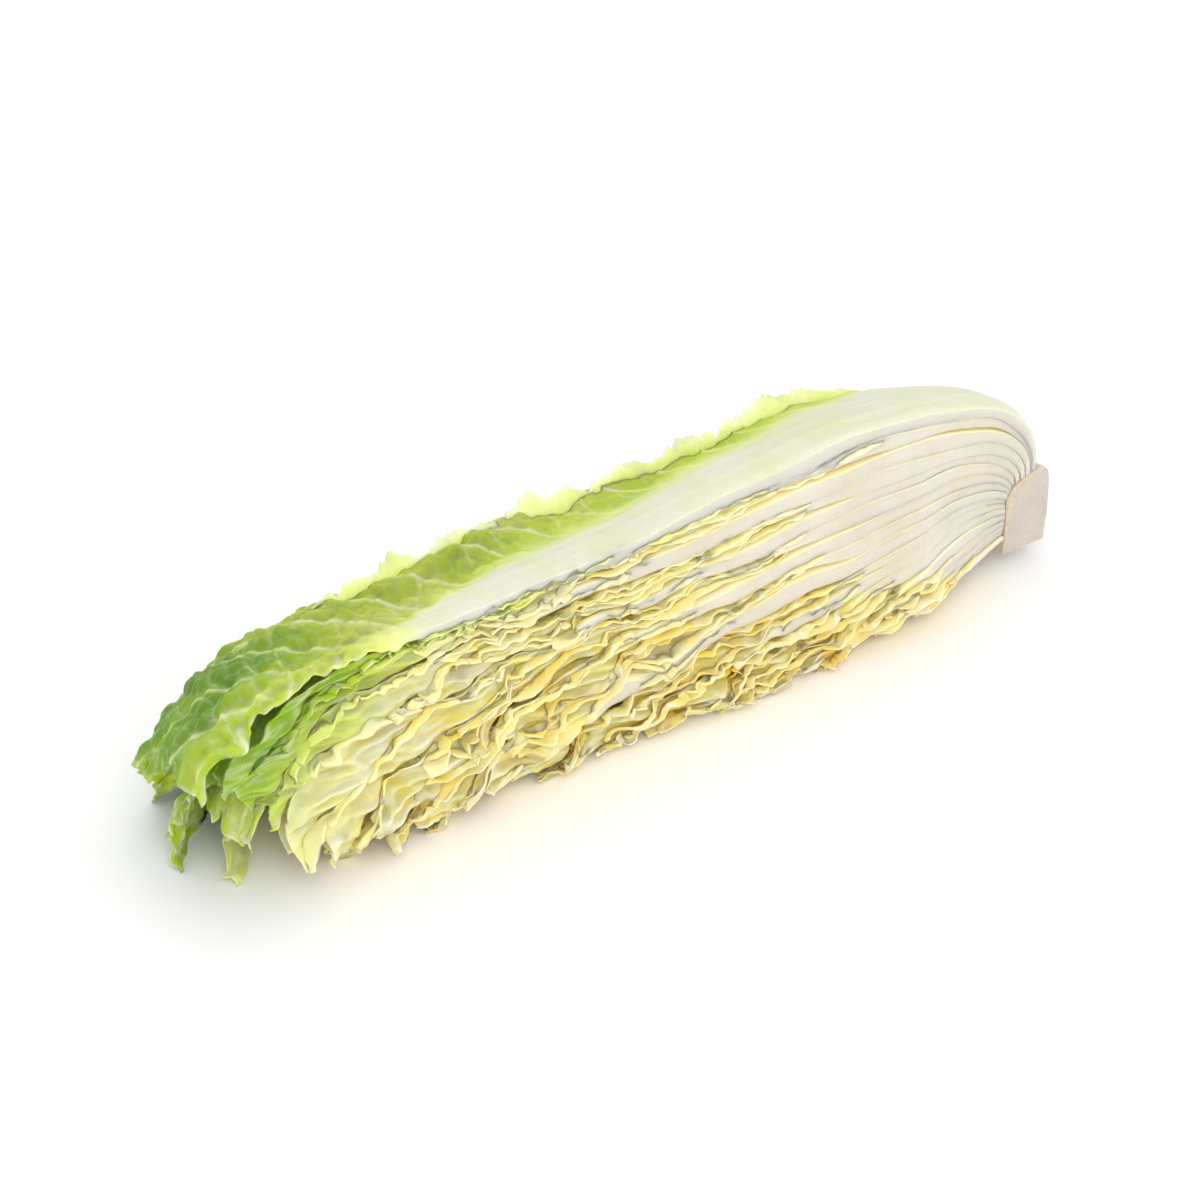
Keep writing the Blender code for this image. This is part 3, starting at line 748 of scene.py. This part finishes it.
def leaf_material(name, yellow, inside):
    mat = bpy.data.materials.new(name + "_tissue")
    n = Nodes(mat)
    coord = n.add("ShaderNodeTexCoord").outputs["Object"]
    rib, vein = n.attr("rib"), n.attr("vein")
    green, painted_shade, pale = n.attr("green"), n.attr("painted_shade"), n.attr("pale")
    cut, puff = n.attr("cut"), n.attr("puff")
    broad = n.noise(38.0, 3.0, coord)
    speck = n.noise(420.0, 4.0, coord)
    # blade: pale yellow on the crests; painted warm shade turns it orange-yellow down in the folds and deeper
    # behind the cut
    yl = n.ramp(n.math("ADD", n.math("MULTIPLY", painted_shade, 0.85), n.math("MULTIPLY", n.math("SUBTRACT", broad, 0.3), 0.5), True), [
        (0.00, lin(255, 251, 212)),
        (0.26, lin(255, 238, 148)),
        (0.58, lin(255, 219, 76)),
        (1.00, lin(255, 192, 24)),
    ])
    # the same painted shade also drives the paler ramp for the inner leaves
    pl = n.ramp(n.math("ADD", n.math("MULTIPLY", painted_shade, 0.85), n.math("MULTIPLY", n.math("SUBTRACT", broad, 0.3), 0.5), True), [
        (0.00, lin(254, 252, 210)),
        (0.32, lin(254, 243, 158)),
        (0.62, lin(255, 234, 98)),
        (1.00, lin(253, 220, 44)),
    ])
    blade = n.mix(n.math("MULTIPLY", pale, 1.0 - yellow, True), yl, pl)
    gr = n.ramp(n.math("ADD", green, n.math("MULTIPLY", n.math("SUBTRACT", broad, 0.5), 0.5), True), [
        (0.00, lin(246, 248, 190)),
        (0.25, lin(224, 234, 114)),
        (0.50, lin(186, 210, 50)),
        (0.75, lin(138, 178, 18)),
        (1.00, lin(86, 136, 4)),
    ])
    gmix = n.math("MULTIPLY", green, 4.0, True)
    col = n.mix(gmix, blade, gr)
    # cells between the veins are a little deeper coloured than their rims
    col = n.mix(n.math("MULTIPLY", puff, 0.30), col, n.mix(1.0, col, lin(240, 238, 186), "MULTIPLY"))
    veincol = n.mix(gmix, lin(250, 246, 214), lin(222, 232, 168))
    col = n.mix(n.math("MULTIPLY", vein, 0.75), col, veincol)
    # midrib: nearly white, faint long streaks, a little green or yellow at its rim
    ribn = n.noise(55.0, 3.0, coord)
    ribcol = n.ramp(ribn, [(0.30, lin(207, 212, 172)), (0.52, lin(214, 214, 191)), (0.72, lin(215, 213, 200))])
    if inside:
        ribcol = n.ramp(ribn, [(0.3, lin(244, 228, 172)), (0.7, lin(249, 240, 206))])
    ribk = n.ramp(rib, [(0.15, (0, 0, 0, 1)), (0.50, (0.25, 0.25, 0.25, 1)), (0.85, (1, 1, 1, 1))])
    col = n.mix(ribk, col, ribcol)
    cutcol = n.ramp(ribn, [(0.3, lin(198, 193, 182)), (0.7, lin(205, 201, 193))])
    col = n.mix(n.math("MULTIPLY", cut, 0.85, True), col, cutcol)
    col = n.mix(0.10, col, n.ramp(speck, [(0.35, lin(230, 225, 190)), (0.65, lin(255, 255, 250))]), "MULTIPLY")
    n.link(col, n.bsdf.inputs["Base Color"])
    rr = n.math("ADD", n.math("MULTIPLY", rib, -0.14), n.math("ADD", n.math("MULTIPLY", speck, 0.16), 0.44))
    n.link(rr, n.bsdf.inputs["Roughness"])
    n.bsdf.inputs["Subsurface Weight"].default_value = 0.80
    n.bsdf.inputs["Subsurface Radius"].default_value = (1.0, 0.95, 0.80)
    n.bsdf.inputs["Subsurface Scale"].default_value = 0.0060
    n.bsdf.inputs["Specular IOR Level"].default_value = 0.42
    # bump: fine wrinkles on the blade, long fibres on the rib
    wr = n.noise(420.0, 5.0, coord, 0.62)
    st = n.add("ShaderNodeMapping")
    st.inputs["Scale"].default_value = (60.0, 900.0, 900.0)
    n.link(coord, st.inputs["Vector"])
    fib = n.noise(1.0, 3.0, st.outputs[0])
    hgt = n.mix(rib, wr, fib)
    bump = n.add("ShaderNodeBump")
    bump.inputs["Strength"].default_value = 0.34
    bump.inputs["Distance"].default_value = 0.0008
    n.link(hgt, bump.inputs["Height"])
    n.link(bump.outputs[0], n.bsdf.inputs["Normal"])
    return mat


def core_material():
    mat = bpy.data.materials.new("core_tissue")
    n = Nodes(mat)
    coord = n.add("ShaderNodeTexCoord").outputs["Object"]
    rim = n.attr("rib")
    broad = n.noise(70.0, 4.0, coord)
    speck = n.noise(700.0, 4.0, coord)
    col = n.ramp(broad, [(0.30, lin(187, 179, 168)), (0.50, lin(194, 186, 175)), (0.70, lin(198, 191, 181))])
    col = n.mix(rim, col, n.ramp(speck, [(0.3, lin(202, 170, 104)), (0.7, lin(230, 208, 156))]))
    col = n.mix(0.25, col, n.ramp(speck, [(0.35, lin(222, 205, 188)), (0.65, lin(255, 252, 248))]), "MULTIPLY")
    n.link(col, n.bsdf.inputs["Base Color"])
    n.link(n.math("ADD", n.math("MULTIPLY", speck, 0.2), 0.36), n.bsdf.inputs["Roughness"])
    n.bsdf.inputs["Subsurface Weight"].default_value = 0.2
    n.bsdf.inputs["Subsurface Radius"].default_value = (1.0, 0.8, 0.6)
    n.bsdf.inputs["Subsurface Scale"].default_value = 0.003
    bump = n.add("ShaderNodeBump")
    bump.inputs["Strength"].default_value = 0.25
    bump.inputs["Distance"].default_value = 0.0005
    n.link(speck, bump.inputs["Height"])
    n.link(bump.outputs[0], n.bsdf.inputs["Normal"])
    return mat


# ----------------------------------------------------------------- build
def put(name, mesh, mat, node):
    o = bpy.data.objects.new(name, mesh)
    mesh.materials.append(mat)
    bpy.context.scene.collection.objects.link(o)
    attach(o, "root")
    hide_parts(node)
    return o


for i in range(len(LEAVES)):
    nm, g = LEAVES[i][0], LEAVES[i][1]
    soup = Soup()
    leaf(i, soup)
    if i + 1 < len(LEAVES) and g > 0.004:
        pleats(i, soup)
    if i == 0:
        flap(soup)
    mesh = soup.build(nm + "_blade")
    yellow = float(np.clip((0.062 - g) / 0.030, 0.0, 1.0))
    put(nm + "_blade", mesh, leaf_material(nm, yellow, i > 0), nm)

# the core: a quarter turn of its outline, cut faces finished
outline = []
steps = 26
for i in range(steps):
    g = 0.0760 * (1.0 - i / (steps - 1))
    outline.append((float(along(BASE_AT, g)) - 0.0003,
                    0.0070 + CORE_R * math.tanh(SPREAD * g / CORE_R) - 0.0003))
prof = [(0.0006, 0.004), (0.0, 0.010), (0.0, 0.018), (0.0002, 0.0255), (0.0010, 0.0285), (0.0022, 0.0300)] + outline
prof += [(CORE_L - 0.0003, 0.0042)]
npf = 48
rowsP = []
for (t, r) in prof:
    ph = np.linspace(0, 90, npf + 1)
    wob = 0.0004 * fbm(ph / 9.0, ph * 0 + t * 300, 77, 3)
    rowsP.append(head_point(np.full(npf + 1, t), r + wob * (r > 0.02), ph))
coreO = np.array(rowsP)
coreO = settle(coreO)
bm = bmesh.new()
grid = [[bm.verts.new(p) for p in row] for row in coreO]
for a, b in zip(grid, grid[1:]):
    for j in range(npf):
        bm.faces.new((a[j], a[j + 1], b[j + 1], b[j]))
ax0 = bm.verts.new(settle(np.array([-0.0008, 0.0, 0.0])))
ax1 = bm.verts.new(settle(np.array([0.0003 - CORE_L, 0.0, 0.0])))
for j in range(npf):
    bm.faces.new((ax0, grid[0][j + 1], grid[0][j]))
    bm.faces.new((ax1, grid[-1][j], grid[-1][j + 1]))
rim_of = {}
for side in (0, -1):
    ring = [ax0] + [row[side] for row in grid] + [ax1]
    base = [v.co.copy() for v in ring]
    mid = sum(base, Vector()) / len(base)
    out = Vector((0.0, -1.0, 0.0)) if side == 0 else Vector((0.0, 0.0, -1.0))
    prev = ring
    for k, (inset, lift, tan) in enumerate(((0.0007, 0.0004, 1.0), (0.0017, 0.0003, 0.7),
                                           (0.0032, 0.0, 0.15), (0.0070, 0.0002, 0.0))):
        cur = []
        for j, c in enumerate(base):
            d = mid - c
            w = 0.0005 * math.sin(j * 2.3 + k) * (k < 3)
            step = min(inset + w * (k > 0), 0.8 * d.length)
            # no ridge along the axis or along the butt
            on = 1.0 if 7 <= j <= len(base) - 2 else 0.0
            v = bm.verts.new(c + d.normalized() * step + out * (lift * on))
            rim_of[v] = tan * on * (0.55 + 0.45 * math.sin(j * 1.9))
            cur.append(v)
        n_ring = len(ring)
        for j in range(n_ring):
            bm.faces.new((prev[j], prev[(j + 1) % n_ring], cur[(j + 1) % n_ring], cur[j]))
        prev = cur
    hub = bm.verts.new(mid)
    for j in range(len(prev)):
        bm.faces.new((prev[j], prev[(j + 1) % len(prev)], hub))
bmesh.ops.recalc_face_normals(bm, faces=bm.faces)
bm.verts.index_update()
tan_at = {v.index: k for v, k in rim_of.items()}
cm = bpy.data.meshes.new("core_stem")
bm.to_mesh(cm)
bm.free()
rimv = np.zeros(len(cm.vertices), dtype=np.float32)
for j, k in tan_at.items():
    rimv[j] = k
att = cm.attributes.new("rib", "FLOAT", "POINT")
att.data.foreach_set("value", rimv)
put("core_stem", cm, core_material(), "core")

# ----------------------------------------------------------------- stage
bm = bmesh.new()
bmesh.ops.create_grid(bm, x_segments=8, y_segments=8, size=4.0)
fm = bpy.data.meshes.new("floor")
bm.to_mesh(fm)
bm.free()
floor = bpy.data.objects.new("floor", fm)
bpy.context.scene.collection.objects.link(floor)
fmat = bpy.data.materials.new("floor_pale")
fmat.use_nodes = True
fmat.node_tree.nodes["Principled BSDF"].inputs["Base Color"].default_value = (0.90, 0.90, 0.90, 1)
fmat.node_tree.nodes["Principled BSDF"].inputs["Roughness"].default_value = 0.9
fm.materials.append(fmat)

world = bpy.data.worlds.new("studio")
bpy.context.scene.world = world
world.use_nodes = True
world.node_tree.nodes["Background"].inputs[0].default_value = (1.0, 1.0, 1.0, 1)
world.node_tree.nodes["Background"].inputs[1].default_value = 0.94


def area(name, where, aim, size, power):
    d = bpy.data.lights.new(name, "AREA")
    d.shape = "RECTANGLE"
    d.size, d.size_y = size
    d.energy = power
    o = bpy.data.objects.new(name, d)
    o.location = where
    o.rotation_euler = (Vector(aim) - Vector(where)).to_track_quat("-Z", "Y").to_euler()
    bpy.context.scene.collection.objects.link(o)


area("key", (-0.6, -1.1, 1.1), (0, 0, 0.03), (0.8, 0.8), 9.2)
area("fill", (1.0, -1.1, 0.6), (0, 0, 0.03), (0.9, 0.9), 4.2)
area("top", (0.1, 0.5, 1.3), (0, 0, 0.03), (0.9, 0.9), 1.6)

AZ, EL, DIST, FOCAL = -35.25, 33.88, 1.10, 99.9
TARGET = Vector((X_BUTT - 0.1789, Y_CUT + 0.0216, 0.0381))
a, e = math.radians(AZ), math.radians(EL)
back = Vector((math.sin(a) * math.cos(e), -math.cos(a) * math.cos(e), math.sin(e)))
cam_data = bpy.data.cameras.new("camera")
cam_data.lens = FOCAL
cam_data.sensor_width = 36.0
cam = bpy.data.objects.new("camera", cam_data)
cam.location = TARGET + back * DIST
cam.rotation_euler = (-back).to_track_quat("-Z", "Y").to_euler()
bpy.context.scene.collection.objects.link(cam)
bpy.context.scene.camera = cam
bpy.context.scene.view_settings.view_transform = "Standard"
